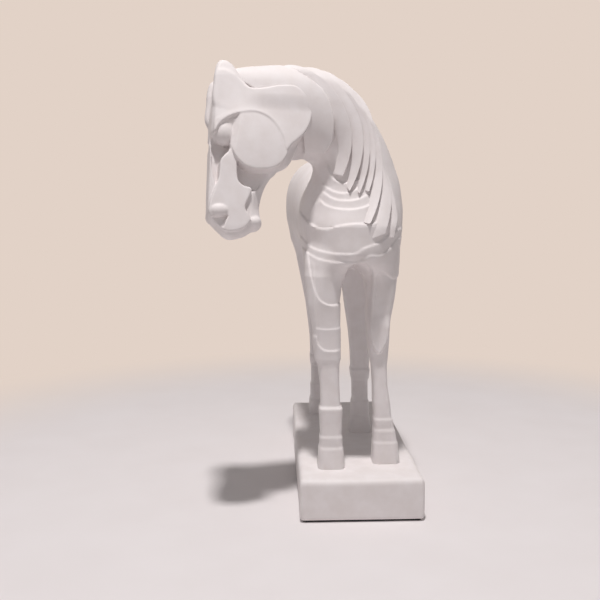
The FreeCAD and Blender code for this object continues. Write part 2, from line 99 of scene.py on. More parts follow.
# Matt white paint over cast resin: chalky, with faint hand-sanded unevenness 12 mm across, a
# 0.8 mm brushed grain and a trace of sheen where it has been handled.
white, tree, out = material("matt white painted resin")
spot = put(tree, "ShaderNodeTexCoord").outputs["Object"]
cloud = put(tree, "ShaderNodeTexNoise", {"Vector": spot, "Scale": 1 / (12 * MM), "Detail": 3.0,
                                         "Roughness": 0.55})
tone = put(tree, "ShaderNodeValToRGB", {"Fac": cloud.outputs["Fac"]})
tone.color_ramp.elements[0].position = 0.35
tone.color_ramp.elements[0].color = linear("#E0DAD9")
tone.color_ramp.elements[1].position = 0.68
tone.color_ramp.elements[1].color = linear("#E6E1E1")
grain = put(tree, "ShaderNodeTexNoise", {"Vector": spot, "Scale": 1 / (0.8 * MM), "Detail": 2.0,
                                         "Roughness": 0.5})
sheen = put(tree, "ShaderNodeMapRange", {"Value": cloud.outputs["Fac"], "From Min": 0.3, "From Max": 0.7,
                                         "To Min": 0.5, "To Max": 0.64})
uneven = put(tree, "ShaderNodeBump", {"Height": cloud.outputs["Fac"], "Strength": 0.25,
                                      "Distance": 0.25 * MM})
brushed = put(tree, "ShaderNodeBump", {"Height": grain.outputs["Fac"], "Strength": 0.18,
                                       "Distance": 0.06 * MM, "Normal": uneven.outputs["Normal"]})
skin = put(tree, "ShaderNodeBsdfPrincipled", {
    "Base Color": tone.outputs["Color"], "Roughness": sheen.outputs["Result"], "IOR": 1.48,
    "Specular IOR Level": 0.35, "Normal": brushed.outputs["Normal"]})
tree.links.new(skin.outputs["BSDF"], out.inputs["Surface"])


def step(value):
    """0 below 0, 1 above 1, and a smooth slope between."""
    k = np.clip(value, 0.0, 1.0)
    return k * k * (3 - 2 * k)


def merge(a, b, soft):
    """Two solids as one, with a fillet this wide where they meet."""
    h = np.maximum(soft - np.abs(a - b), 0) / soft
    return np.minimum(a, b) - h * h * soft / 4


def trim(a, b, soft):
    """What two solids have in common, with its edge rounded off."""
    return -merge(-a, -b, soft)


# Grid cells along a coarse block, points worked out at a time, the distance in cells within which a
# point belongs to a cut's rim, and how often points are drawn onto the surface.
BLOCK = 6
BATCH = 300000
RIM = 0.75
SETTLINGS = 4


def field_values(field, low, high, cell):
    """A field on a grid of points, worked out only in the coarse blocks that lie near its surface."""
    count = np.ceil((np.array(high, float) - low) / (cell * BLOCK)).astype(int)
    wide = cell * BLOCK
    axes = [low[i] + (np.arange(count[i]) + 0.5) * wide for i in range(3)]
    centres = np.stack(np.meshgrid(*axes, indexing="ij"), -1).reshape(-1, 3)
    rough = field(centres).reshape(count)
    slope = np.sqrt(sum(g * g for g in np.gradient(rough, wide)))
    near = np.abs(rough) < wide * 1.25 * np.maximum(slope, 1.0)
    fine, sign = near, np.sign(rough)
    for axis in range(3):
        fine, sign = fine.repeat(BLOCK, axis), sign.repeat(BLOCK, axis)
    size = count * BLOCK + 1
    values = np.ones(size, np.float32)
    wanted = np.zeros(size, bool)
    values[tuple(slice(0, s) for s in size - 1)] = np.where(sign < 0, -1, 1)
    for corner in np.ndindex(2, 2, 2):
        wanted[tuple(slice(s, s + n) for s, n in zip(corner, size - 1))] |= fine
    where = np.argwhere(wanted)
    for start in range(0, len(where), BATCH):
        some = where[start:start + BATCH]
        values[tuple(some.T)] = field(low + some * cell)
    return values


def settle(points, quads, fields, cell):
    """Draw points onto the surface, and those beside the rim of a cut onto the rim itself.

    After the first time each point moves to the middle of its quads, which spaces them evenly."""
    rim = np.zeros(len(points), bool)
    every = np.arange(len(points))
    for turn in range(SETTLINGS):
        if turn == 1:
            middles = points[quads].mean(1)
            spread, share = np.zeros_like(points), np.zeros(len(points))
            for corner in range(4):
                np.add.at(spread, quads[:, corner], middles)
                np.add.at(share, quads[:, corner], 1)
            points = spread / share[:, None]
        values = np.stack([f(points) for f in fields])
        tilts = np.stack([np.stack([f(points + shift) for f in fields]) - values
                          for shift in np.eye(3) * cell * 0.2], -1) / (cell * 0.2)
        rank = np.argsort(-values, 0)
        first, slope = values[rank[0], every], tilts[rank[0], every]
        square = np.maximum((slope * slope).sum(1), 0.3)
        move = np.clip(first / square, -cell, cell)[:, None] * slope
        if len(fields) > 1:
            second, other = values[rank[1], every], tilts[rank[1], every]
            if turn == 0:
                rim = second > -RIM * cell
            cross = (slope * other).sum(1)
            wide = np.maximum((other * other).sum(1), 0.3)
            size = square * wide - cross * cross
            rim &= size > 0.1
            size = np.where(rim, size, 1.0)
            both = (((first * wide - second * cross) / size)[:, None] * slope
                    + ((second * square - first * cross) / size)[:, None] * other)
            move = np.where(rim[:, None], np.clip(both, -cell, cell), move)
        points = points - move
    return points


def closed_quads(shape, low, high, cell, cuts=()):
    """The surface of a solid, given as its distance field, as points and outward quads.

    Each cut is a field too: it takes away what it is positive on, and leaves a crisp edge."""
    low = np.array(low, float)
    fields = [shape, *cuts]
    values = field_values(lambda p: np.max([f(p) for f in fields], 0), low, high, cell)
    size = np.array(values.shape)
    inside = values < 0
    corners = [inside[i:i + size[0] - 1, j:j + size[1] - 1, k:k + size[2] - 1]
               for i, j, k in np.ndindex(2, 2, 2)]
    mixed = np.logical_or.reduce(corners) & ~np.logical_and.reduce(corners)
    # One point for each cell that the surface passes through, amid its crossings of the cell's edges.
    cells = np.argwhere(mixed)
    number = np.full(size - 1, -1, np.int64)
    number[tuple(cells.T)] = np.arange(len(cells))
    total, hits = np.zeros((len(cells), 3)), np.zeros(len(cells))
    for axis in range(3):
        for i, j in np.ndindex(2, 2):
            a = np.insert(np.array([i, j]), axis, 0)
            b = np.insert(np.array([i, j]), axis, 1)
            va, vb = values[tuple((cells + a).T)], values[tuple((cells + b).T)]
            cross = (va < 0) != (vb < 0)
            share = np.where(cross, va / np.where(cross, va - vb, 1.0), 0.0)
            total += np.where(cross[:, None], a + share[:, None] * (b - a), 0.0)
            hits += cross
    points = low + (cells + total / hits[:, None]) * cell
    # One quad round each grid edge that the surface crosses, through the four cells that share it.
    quads = []
    for axis in range(3):
        one, two = (axis + 1) % 3, (axis + 2) % 3
        ahead = np.moveaxis(inside, axis, 0)
        change = np.argwhere(np.moveaxis(ahead[:-1] != ahead[1:], 0, axis))
        ring = []
        for du, dv in ((-1, -1), (0, -1), (0, 0), (-1, 0)):
            at = change.copy()
            at[:, one] += du
            at[:, two] += dv
            ring.append(number[tuple(at.T)])
        ring = np.stack(ring, 1)
        leaving = inside[tuple(change.T)]
        quads.append(np.where(leaving[:, None], ring, ring[:, ::-1]))
    quads = np.concatenate(quads)
    return settle(points, quads, fields, cell), quads


SHARPEST_SMOOTH = math.radians(55)


def mesh_object(name, points, faces, finish):
    """A mesh object in metres from points in millimetres, with its sharp edges kept crisp."""
    mesh = bpy.data.meshes.new(name)
    mesh.from_pydata((np.asarray(points) * MM).tolist(), [], np.asarray(faces).tolist())
    mesh.shade_smooth()
    mesh.set_sharp_from_angle(angle=SHARPEST_SMOOTH)
    mesh.materials.append(finish)
    made = bpy.data.objects.new(name, mesh)
    bpy.context.scene.collection.objects.link(made)
    return made


def seat(piece, *stands_for):
    """Let a finished piece ride on the statuette in place of its CAD solids."""
    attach(piece, "root")
    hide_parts(*stands_for)


def plinth(p):
    x, y, z = p.T
    wave = 0.35 * np.sin(x / 17 + 1.0) * np.cos(y / 29) + 0.25 * np.sin(y / 13 + z / 9)
    top = DECK + 0.45 * np.cos(x / 21 + 0.6) * np.sin(y / 37 + 2.2) - 0.5
    side = np.stack([np.abs(x) - PLINTH_HALF[0] + 0.6, np.abs(y) - PLINTH_HALF[1] + 0.6], 1) + PLINTH_EDGE
    flat = np.hypot(*np.maximum(side, 0).T) + np.minimum(side.max(1), 0) - PLINTH_EDGE + wave * 0.5
    return trim(trim(flat, z - top, 5.0), PLINTH_FOOT - z, 2.5)


def cast(name, node, shape, low, high, cell, cuts=(), frame_of=None):
    points, quads = closed_quads(shape, low, high, cell * (1.0), cuts)
    if frame_of:
        middle, axes = frame_of
        points = middle + points @ axes
    seat(mesh_object(name, points, quads, white), node)


cast("painted_plinth", "plinth_block", plinth, (-56, -131, -4), (56, 131, 42), 1.7)

# ---- fixing rods, washers, nuts and dowels -------------------------------------------------------
# Threaded zinc-plated steel rod, cut to length, one up through the plinth into each leg, and pulled
# tight with a washer and a hexagon nut in a counterbore under the plinth. Plain dowels of the same
# steel pin the castings to each other.
# Zinc-plated steel: bright, faintly bluish, its plating crystals 0.5 mm across and dulled unevenly.
zinc, tree, out = material("zinc-plated steel")
spot = put(tree, "ShaderNodeTexCoord").outputs["Object"]
bloom = put(tree, "ShaderNodeTexNoise", {"Vector": spot, "Scale": 1 / (0.5 * MM), "Detail": 3.0})
tone = put(tree, "ShaderNodeValToRGB", {"Fac": bloom.outputs["Fac"]})
tone.color_ramp.elements[0].color = linear("#A9AEB4")
tone.color_ramp.elements[1].color = linear("#CBD0D4")
dull = put(tree, "ShaderNodeMapRange", {"Value": bloom.outputs["Fac"], "To Min": 0.25, "To Max": 0.45})
skin = put(tree, "ShaderNodeBsdfPrincipled", {"Base Color": tone.outputs["Color"], "Metallic": 1.0,
                                              "Roughness": dull.outputs["Result"]})
tree.links.new(skin.outputs["BSDF"], out.inputs["Surface"])
for name in ("leg_rods", "rod_washers", "rod_nuts", "leg_dowels", "neck_dowels", "head_dowel", "tail_dowel"):
    nodes[name].data.materials[0] = zinc

# ---- forelegs ------------------------------------------------------------------------------------
# Two resin castings, squared off like carved wood, with ledges where one block steps in to the next.
# Each stands on its rod and is glued and pinned under the chest, where the joint is filled and sanded.
FORELEG_SEAT = 192.0
FORELEG_BACK = -40.0
BETWEEN_FORELEGS = -3.0
HOOF_SUNK = 1.5
# Height, then the middle in X and Y and the half sizes across and along.
RIGHT_FORELEG = [
    (30, -22.7, -88.0, 11.2, 11.0), (36, -22.7, -88.0, 11.0, 10.9), (50.6, -22.7, -88.0, 10.1, 10.0),
    (52.4, -22.7, -88.0, 9.4, 9.2), (60.2, -22.8, -88.2, 9.3, 9.5), (61.8, -22.8, -88.2, 8.7, 8.8),
    (72, -22.9, -88.2, 9.1, 9.2), (84.2, -23.0, -88.4, 9.6, 10.2), (86.2, -23.2, -88.2, 8.0, 8.6),
    (104, -23.9, -88.0, 7.8, 8.2), (118, -24.6, -87.6, 8.5, 8.8), (122, -25.0, -87.4, 9.2, 9.4),
    (124.5, -25.3, -87.0, 10.4, 10.4), (140, -25.6, -86.6, 10.6, 11.0), (150, -26.4, -86.0, 10.9, 12.0),
    (170, -28.4, -84.5, 12.5, 14.5), (192, -27.5, -82.5, 14.8, 18.0), (212, -24.0, -75.0, 15.5, 22.0),
    (228, -20.0, -64.0, 14.0, 26.0)]
LEFT_FORELEG = [
    (30, 23.9, -77.0, 11.6, 10.8), (36, 23.8, -77.0, 11.4, 10.7), (51.6, 23.2, -77.0, 10.4, 9.8),
    (53.4, 23.0, -77.0, 9.7, 9.1), (62.0, 22.3, -77.0, 9.0, 9.3), (63.8, 22.0, -77.0, 8.3, 8.6),
    (71.4, 21.2, -77.2, 8.0, 8.9), (73.2, 20.9, -77.2, 7.3, 8.1), (85, 19.9, -77.2, 7.0, 8.4),
    (100, 18.6, -77.0, 6.0, 8.2), (116, 17.8, -76.6, 6.2, 8.4), (126, 17.2, -76.2, 7.8, 9.4),
    (140, 16.9, -75.4, 8.9, 11.2), (152, 16.6, -74.8, 9.2, 12.6), (170, 18.0, -73.5, 11.7, 15.0),
    (192, 19.2, -72.0, 14.6, 18.0), (212, 17.0, -69.0, 14.5, 23.0), (228, 15.0, -60.0, 13.5, 26.0)]
# The four legs, the barrel, the chest and the neck are carved as one surface, so that no joint shows.
# It is made up here, and every casting below takes its own share of it.
LEFT_HINDLEG = [
    (30, 11.6, 13.0, 10.4, 11.2), (36, 11.6, 13.2, 10.2, 11.0), (48.2, 11.7, 14.0, 9.4, 10.0),
    (50.0, 11.8, 14.4, 8.5, 9.0), (63.0, 12.0, 16.5, 8.3, 8.9), (64.8, 12.0, 16.8, 7.4, 8.0),
    (82.4, 12.2, 21.5, 7.4, 8.6), (84.0, 12.3, 22.0, 8.4, 9.4), (92.4, 12.4, 23.4, 9.2, 11.4),
    (94.4, 12.5, 24.0, 8.4, 10.4), (112, 12.7, 27.0, 9.1, 11.6), (128, 13.0, 32.0, 10.4, 13.6),
    (150, 13.6, 42.0, 13.4, 17.6), (172, 14.2, 51.0, 16.2, 22.0), (196, 14.2, 59.0, 19.2, 27.0),
    (214, 14.0, 62.0, 20.5, 29.0), (234, 12.0, 64.0, 18.0, 27.0)]
RIGHT_HINDLEG = [
    (30, -23.5, 85.0, 10.4, 11.2), (36, -23.5, 85.2, 10.2, 11.0), (48.2, -23.6, 86.0, 9.2, 10.0),
    (50.0, -23.6, 86.4, 8.2, 9.0), (63.0, -23.7, 88.0, 8.0, 8.9), (64.8, -23.7, 88.2, 7.2, 8.0),
    (82.4, -23.6, 93.5, 7.2, 8.6), (84.0, -23.6, 94.0, 8.0, 9.4), (92.4, -23.5, 95.4, 8.4, 11.4),
    (94.4, -23.5, 95.6, 7.8, 10.4), (112, -24.0, 94.5, 7.9, 11.6), (128, -24.8, 93.0, 8.8, 13.6),
    (150, -26.0, 89.5, 10.4, 17.6), (172, -27.2, 86.0, 13.6, 22.0), (196, -28.4, 83.0, 17.2, 26.0),
    (214, -28.8, 82.0, 19.4, 28.0), (234, -26.0, 80.0, 18.0, 27.0)]


def rail(rows, soft):
    """The columns of a table as smooth functions of its first column."""
    rows = np.array(rows, float)
    at = np.arange(rows[0, 0] - 4 * soft, rows[-1, 0] + 4 * soft, 0.25)
    spread = np.arange(-3 * soft, 3 * soft + 0.1, 0.25)
    weight = np.exp(-0.5 * (spread / soft) ** 2)
    weight /= weight.sum()
    columns = []
    for column in rows.T[1:]:
        plain = np.interp(at, rows[:, 0], column)
        padded = np.pad(plain, len(spread) // 2, mode="edge")
        columns.append(np.convolve(padded, weight, mode="valid")[:len(at)])
    return lambda where: [np.interp(where, at, column) for column in columns]


DIAGONAL = 0.7071
LEDGE_SOFTNESS = 0.55
KNEES = 150.0


def leg(rows):
    """A leg as stacked square sections whose corners are cut off, the more so towards the body."""
    sizes = rail(rows, LEDGE_SOFTNESS)

    def field(p):
        x, y, z = p.T
        cx, cy, across, along = sizes(z)
        a, b = np.abs(x - cx) - across, np.abs(y - cy) - along
        box = trim(a, b, 1.2)
        upper = step((z - KNEES) / 60)
        cut = 0.30 + 0.45 * upper
        corner = (a + b) * DIAGONAL + np.minimum(across, along) * cut * DIAGONAL
        return trim(box, corner, 1.6 + 4.0 * upper)
    return field


# The barrel: place along the horse, middle in X and Z, half width and half height.
BARREL = [
    (-72, -3, 226, 32, 24), (-50, -3, 231, 38, 35), (-30, -3, 236, 42, 42), (10, -3, 244, 47, 47),
    (50, -6, 246, 46, 46.5), (84, -10, 245, 46, 49), (117, -12, 250, 46, 49)]
BREAST, CROUP, RUMP = -72.0, 80.0, 116.6
barrel_sizes = rail(BARREL, 11.0)


def oval(a, b, half_a, half_b, fullness):
    """Distance, measured towards the middle, to an oval that is squarer than an ellipse."""
    k = ((np.abs(a) / half_a) ** fullness + (np.abs(b) / half_b) ** fullness) ** (1 / fullness)
    return np.hypot(a, b) * (1 - 1 / np.maximum(k, 0.05))


def barrel(p):
    x, y, z = p.T
    cx, cz, across, high = barrel_sizes(y)
    end = np.sqrt(np.clip(1 - (np.maximum(y - CROUP, 0) / 36.6) ** 2.4, 0.01, 1))
    round_body = oval(x - cx, z - cz, across * end, high * end, 2.4)
    return np.maximum(np.maximum(round_body, y - RUMP), BREAST - y)


# The chest as a level column, from its underside up into the neck.
CHEST = [(186, -3.5, -51, 29.0, 46.0), (198, -3.5, -52, 34.0, 51.5), (211, -3.5, -52, 38.5, 54.5),
         (231, -3.3, -51, 40.5, 54.0), (246, -3.0, -50, 39.5, 49.0), (256, -2.5, -50, 36, 42)]
chest_sizes = rail(CHEST, 3.0)


def chest(p):
    x, y, z = p.T
    cx, cy, across, along = chest_sizes(z)
    column = oval(x - cx, y - cy, across, along, 2.15)
    arch = 195.0 + 6.0 * np.exp(-((x - BETWEEN_FORELEGS) / 9.0) ** 2) * step((-20 - y) / 30)
    return trim(column, arch - z, 12.0)


# The neck: share of its length, middle in X Y Z, lean of the crest from +X towards +Z in degrees,
# half depth towards the crest and half thickness from side to side.
NECK_SEAT = 231.0
NECK = [
    (0.0, -3.0, -50.0, NECK_SEAT, 0.0, 38.5, 51.0), (0.2, -2.0, -50.0, 262.0, 12.0, 38.0, 41.0),
    (0.4, -9.0, -57.0, 295.5, 36.0, 31.0, 31.0), (0.6, -30.0, -67.0, 316.0, 68.0, 33.7, 24.0),
    (0.8, -53.0, -76.5, 319.5, 90.0, 35.5, 18.5), (1.0, -76.0, -84.0, 319.0, 97.0, 35.5, 14.5)]
shares = np.linspace(0, 1, 241)


def through(rows, at):
    """Smooth curves through the rows of an evenly spaced table."""
    rows = np.array(rows, float)
    span = np.clip(at, 0, 1) * (len(rows) - 1)
    i = np.minimum(span.astype(int), len(rows) - 2)
    k = (span - i)[:, None]
    values = rows[:, 1:]
    slope = np.gradient(values, axis=0)
    slope[0], slope[-1] = (values[1] - values[0]) / 2, (values[-1] - values[-2]) / 2
    return ((2 * k**3 - 3 * k**2 + 1) * values[i] + (k**3 - 2 * k**2 + k) * slope[i]
            + (3 * k**2 - 2 * k**3) * values[i + 1] + (k**3 - k**2) * slope[i + 1])


neck_line = through(NECK, shares)
# The foot swells out over the chest, and the other end runs on into the head, leaning and tapering.
FOOT_GROWTH = 4.8
FOOT_END = 0.24
POLL = 0.98
INTO_HEAD = 20.0
POLL_LEAN = 0.39
POLL_TAPER = 0.35


def chart(low, high, spacing, function):
    a, b = np.arange(low[0], high[0] + spacing, spacing), np.arange(low[1], high[1] + spacing, spacing)
    grid = np.meshgrid(a, b, indexing="ij")
    values = function(grid[0].ravel(), grid[1].ravel()).reshape(len(a), len(b))

    def look(x, y):
        u = np.clip((x - low[0]) / spacing, 0, len(a) - 1.001)
        v = np.clip((y - low[1]) / spacing, 0, len(b) - 1.001)
        i, j = u.astype(int), v.astype(int)
        u, v = u - i, v - j
        return ((values[i, j] * (1 - u) + values[i + 1, j] * u) * (1 - v)
                + (values[i, j + 1] * (1 - u) + values[i + 1, j + 1] * u) * v)
    return look


SHARE_BATCH = 20000
NOT_HERE = 1e6


def share_at(x, z):
    """The section of the neck, all of them fanning out from one line, that a point lies in."""
    cx, cz, lean = neck_line[:, 0], neck_line[:, 2], np.radians(neck_line[:, 3])
    found = np.empty(len(x))
    for start in range(0, len(x), SHARE_BATCH):
        batch = slice(start, start + SHARE_BATCH)
        px, pz = x[batch, None] - cx, z[batch, None] - cz
        along = -px * np.sin(lean) + pz * np.cos(lean)
        depth = np.abs(px * np.cos(lean) + pz * np.sin(lean))
        passed = (along[:, :-1] > 0) & (along[:, 1:] <= 0)
        cost = np.where(passed, depth[:, :-1], NOT_HERE)
        best = cost.argmin(1)
        rows = np.arange(len(best))
        part = along[rows, best] / np.maximum(along[rows, best] - along[rows, best + 1], 1e-6)
        inside = cost[rows, best] < NOT_HERE
        ends = np.where(along[:, 0] <= 0, 0.0, 1.0)
        found[batch] = np.where(inside, shares[best] + part * (shares[1] - shares[0]), ends)
    return found


neck_share = chart((-120, 224), (62, 368), 1.0, share_at)


def neck_parts(p):
    """Where points lie in the neck: share, towards the crest, to the side, half sizes, past the section."""
    x, y, z = p.T
    share = np.where(z < NECK_SEAT, 0.0, neck_share(x, z))
    cx, cy, cz, lean, half_crest, half_side = [np.interp(share, shares, c) for c in neck_line.T]
    lean = np.radians(lean)
    depth = (x - cx) * np.cos(lean) + (z - cz) * np.sin(lean)
    beyond = -(x - cx) * np.sin(lean) + (z - cz) * np.cos(lean)
    growth = FOOT_GROWTH * np.clip(1 - share / FOOT_END, 0, 1)
    past = np.where(share > POLL, np.clip(beyond, 0, INTO_HEAD), 0)
    cy = cy - POLL_LEAN * past
    half_side = half_side - POLL_TAPER * past
    half_crest = half_crest + 4.5 * np.exp(-((share - 0.27) / 0.13) ** 2) * step(-depth / 20)
    return share, depth, cy - y, half_crest + growth, half_side + growth, beyond


def neck(p):
    share, depth, side, half_crest, half_side, beyond = neck_parts(p)
    return trim(oval(depth, side, half_crest, half_side, 2.1),
                np.where(share > POLL, beyond - INTO_HEAD, -INTO_HEAD), 7.0)


def smooth_line(points, closed=False, per=8):
    """A smooth line through a few points."""
    points = np.array(points, float)
    last = len(points) if closed else len(points) - 1
    line = []
    for i in range(last):
        if closed:
            q = points[[i - 1, i, (i + 1) % len(points), (i + 2) % len(points)]]
        else:
            q = points[[max(i - 1, 0), i, i + 1, min(i + 2, len(points) - 1)]]
        for k in np.arange(per) / per:
            line.append(0.5 * (2 * q[1] + (q[2] - q[0]) * k
                               + (2 * q[0] - 5 * q[1] + 4 * q[2] - q[3]) * k * k
                               + (3 * q[1] - q[0] - 3 * q[2] + q[3]) * k**3))
    if not closed:
        line.append(points[-1])
    return np.array(line)


def line_distance(line, x, y, closed=False):
    """Signed distance to a line, positive on the right of its direction, and the share along it."""
    ends = np.roll(line, -1, 0) if closed else line[1:]
    starts = line if closed else line[:-1]
    best, side, along = np.full(len(x), 1e9), np.ones(len(x)), np.zeros(len(x))
    for i, (a, b) in enumerate(zip(starts, ends)):
        dx, dy = b - a
        length = max(dx * dx + dy * dy, 1e-9)
        t = np.clip(((x - a[0]) * dx + (y - a[1]) * dy) / length, 0, 1)
        ox, oy = x - a[0] - t * dx, y - a[1] - t * dy
        far = ox * ox + oy * oy
        nearer = far < best
        best = np.where(nearer, far, best)
        side = np.where(nearer, np.sign(dy * (x - a[0]) - dx * (y - a[1])), side)
        along = np.where(nearer, (i + t) / len(starts), along)
    return np.sqrt(best) * side, along


# Carved steps seen from the front, as lines in X and Z. The material on the right of a line's
# direction stands out by the first number after it and dies away over the second.
STEPS = [
    ([(-26, 284), (-22, 272), (-17, 267), (-8, 266), (6, 271)], 1.5, 7),
    ([(-30, 267), (-24, 261), (-16, 258), (-8, 258.5), (4, 264)], 1.3, 6),
    ([(-30, 260), (-22, 254), (-14, 252), (-2, 253), (10, 259)], 1.4, 7),
    ([(-32, 254), (-26, 248), (-14, 245.2), (0, 246), (14, 252)], 1.5, 8),
    ([(-50, 250), (-43, 238), (-34, 231), (-26, 230), (-17, 232.5), (-5, 234), (8, 234), (18, 238),
      (30, 246)], 1.7, 12),
    ([(-53, 236), (-47, 224), (-38, 215), (-26, 211.5), (-14, 210.5), (-4, 211), (2, 215), (14, 219),
      (24, 225), (34, 229), (44, 231)], 1.3, 12),
    ([(-52, 226), (-46, 215), (-36, 207.5), (-24, 204.5), (-10, 203.6), (0, 205), (7, 209), (16, 209),
      (24, 214), (32, 221), (44, 223)], 1.2, 12),
    ([(-9, 150), (-10, 175), (-10.5, 192), (-8, 200), (-2, 203), (4, 202.5), (9, 198), (10.5, 190), (10, 172),
      (9, 150)], -2.6, 6),
    ([(12, 156), (13.5, 178), (13.5, 192), (16, 196), (22, 193), (28, 189), (36, 191)], -1.3, 7),
    ([(-41, 214), (-40, 200), (-37.5, 186), (-33, 175), (-27, 170.5), (-20, 169.5), (-12, 171)], 1.5, 9),
    ([(-36, 206), (-36.5, 190), (-35.5, 170), (-34.5, 150), (-34.5, 128)], 0.7, 4),
    ([(-35, 146), (-34, 139), (-30, 134), (-24, 132.4), (-15, 133)], 1.3, 6),
    ([(-36, 151), (-26, 150), (-14, 151)], 0.7, 5),
    ([(26, 160), (25, 146), (22, 135), (17.5, 128), (13, 131), (9.5, 142), (8, 160)], 3.2, 10),
]


STEP_WIDTH = 1.6
STEP_ENDS = 0.14
SANDED = 0.85


def carving(x, z):
    """How far the steps stand out, each dying away towards both its ends."""
    height = np.zeros(len(x))
    for points, stands_out, fade in STEPS:
        away, along = line_distance(smooth_line(points), x, z)
        ends = step(along / STEP_ENDS) * step((1 - along) / STEP_ENDS)
        slope = step(away / STEP_WIDTH + 0.5) * np.exp(-np.maximum(away, 0) / fade)
        height += SANDED * stands_out * slope * ends
    return height


relief = chart((-60, 100), (60, 292), 0.5, carving)
right_foreleg, left_foreleg, left_hindleg, right_hindleg = map(
    leg, (RIGHT_FORELEG, LEFT_FORELEG, LEFT_HINDLEG, RIGHT_HINDLEG))


SHOULDER_FILLET = 12.0


def body(p):
    """The whole horse but its head, mane and tail, before its steps are carved.

    The legs die away inside the trunk, and the chest turns into the neck over a short height."""
    z = p[:, 2]
    fore = np.minimum(right_foreleg(p), left_foreleg(p)) + 0.045 * np.maximum(z - 200, 0) ** 1.8
    hind = np.minimum(left_hindleg(p), right_hindleg(p)) + 0.03 * np.maximum(z - 214, 0) ** 1.8
    up = step((z - 222) / 26)
    trunk = merge(barrel(p), chest(p) * (1 - up) + neck(p) * up, 14.0)
    return merge(merge(trunk, fore, SHOULDER_FILLET), hind, SHOULDER_FILLET)


def horse(p):
    """The carved surface that all the body's castings share."""
    x, y, z = p.T
    return body(p) - relief(x, z) * step((-30 - y) / 30)


for name, node, side, low, high in (
        ("carved_foreleg_right", "foreleg_right", 1, (-50, -112, 30), (3, -28, 197)),
        ("carved_foreleg_left", "foreleg_left", -1, (-9, -112, 30), (46, -28, 197))):
    cast(name, node, horse, low, high, 0.75, (
        lambda p: p[:, 2] - FORELEG_SEAT, lambda p: side * (p[:, 0] - BETWEEN_FORELEGS),
        lambda p: p[:, 1] - FORELEG_BACK, lambda p: DECK - HOOF_SUNK - p[:, 2]))

# ---- hind legs -----------------------------------------------------------------------------------
# Two more resin castings: hoof, pastern, cannon, the step of the hock and the thigh that swells into
# the haunch. The left one steps forward. They are seated on rods and pinned like the forelegs.
HINDLEG_SEAT = 214.0
LEFT_THIGH_FRONT, RIGHT_THIGH_FRONT = 26.0, 50.0
BETWEEN_HINDLEGS = -8.0
THIGH_SLOPE, THIGH_COSINE = 0.42, 0.92


def before_thigh(p, at):
    """Positive in front of a thigh, whose joint with the flank slopes back as it goes down."""
    return (at + (p[:, 2] - HINDLEG_SEAT) * THIGH_SLOPE - p[:, 1]) * THIGH_COSINE


for name, node, side, front, low, high in (
        ("carved_hindleg_left", "hindleg_left", -1, LEFT_THIGH_FRONT, (-16, -8, 30), (50, 124, 219)),
        ("carved_hindleg_right", "hindleg_right", 1, RIGHT_THIGH_FRONT, (-62, 20, 30), (0, 124, 219))):
    cast(name, node, horse, low, high, 0.95, (
        lambda p: p[:, 2] - HINDLEG_SEAT, lambda p: before_thigh(p, front),
        lambda p: side * (p[:, 0] - BETWEEN_HINDLEGS), lambda p: DECK - HOOF_SUNK - p[:, 2]))

# ---- torso ---------------------------------------------------------------------------------------
# The largest casting: barrel, haunches and lower chest in one. Stepped slabs run round the chest like
# contour lines. The four legs, the neck and the tail are glued and pinned to it.
WITHERS = 12.0


def over_chest(p):
    """Positive inside the neck's share of the body."""
    return np.minimum(p[:, 2] - NECK_SEAT, WITHERS - p[:, 1])


def in_legs(p):
    """Positive inside the four legs' share of the body."""
    fore = np.minimum(FORELEG_SEAT - p[:, 2], FORELEG_BACK - p[:, 1])
    below, side = HINDLEG_SEAT - p[:, 2], p[:, 0] - BETWEEN_HINDLEGS
    left = np.minimum(np.minimum(below, -before_thigh(p, LEFT_THIGH_FRONT)), side)
    right = np.minimum(np.minimum(below, -before_thigh(p, RIGHT_THIGH_FRONT)), -side)
    return np.maximum(np.maximum(fore, left), right)


cast("carved_torso", "torso_casting", horse, (-64, -114, 150), (58, 122, 304), 1.1, (over_chest, in_legs))

# ---- tail ----------------------------------------------------------------------------------------
# A separate slim casting, pinned under the croup and hanging clear of the hind legs, with shallow
# grooves for its hair.
TAIL = [(88, -12, 115, 1.5, 1.5), (98, -12, 115.6, 3.2, 2.6), (130, -12, 118, 6.0, 4.0),
        (190, -12, 119.3, 8.0, 4.4), (235, -12, 119.3, 7.6, 4.4), (256, -12, 117.5, 6.2, 4.6),
        (268, -12, 114.5, 5.0, 4.8), (276, -12, 111, 4.5, 4.5)]
TAIL_TIP, TAIL_ROOT = 91.0, 275.0
HAIR_GROOVE = 0.45
tail_sizes = rail(TAIL, 3.0)


def tail(p):
    x, y, z = p.T
    cx, cy, across, thick = tail_sizes(z)
    a = x - cx + 0.8 * np.sin(z / 22)
    strands = HAIR_GROOVE * np.abs(np.cos(a * 1.15 + 0.5 * np.sin(z / 30)))
    dock = oval(a, y - cy, np.maximum(across, 1), np.maximum(thick, 1), 2.2) - strands + 0.35
    return trim(trim(dock, z - TAIL_ROOT, 3.0), TAIL_TIP - z, 2.5)


cast("carved_tail", "tail_casting", tail, (-24, 104, 84), (0, 127, 280), 0.8)

# ---- neck ----------------------------------------------------------------------------------------
# One casting from the withers to the poll, turned to the horse's right. It sits flat on the chest,
# on two pins, and carries the mane's locks and the head.
cast("carved_neck", "neck_casting", horse, (-118, -118, 226), (60, 16, 362), 1.1,
     (lambda p: -over_chest(p),))

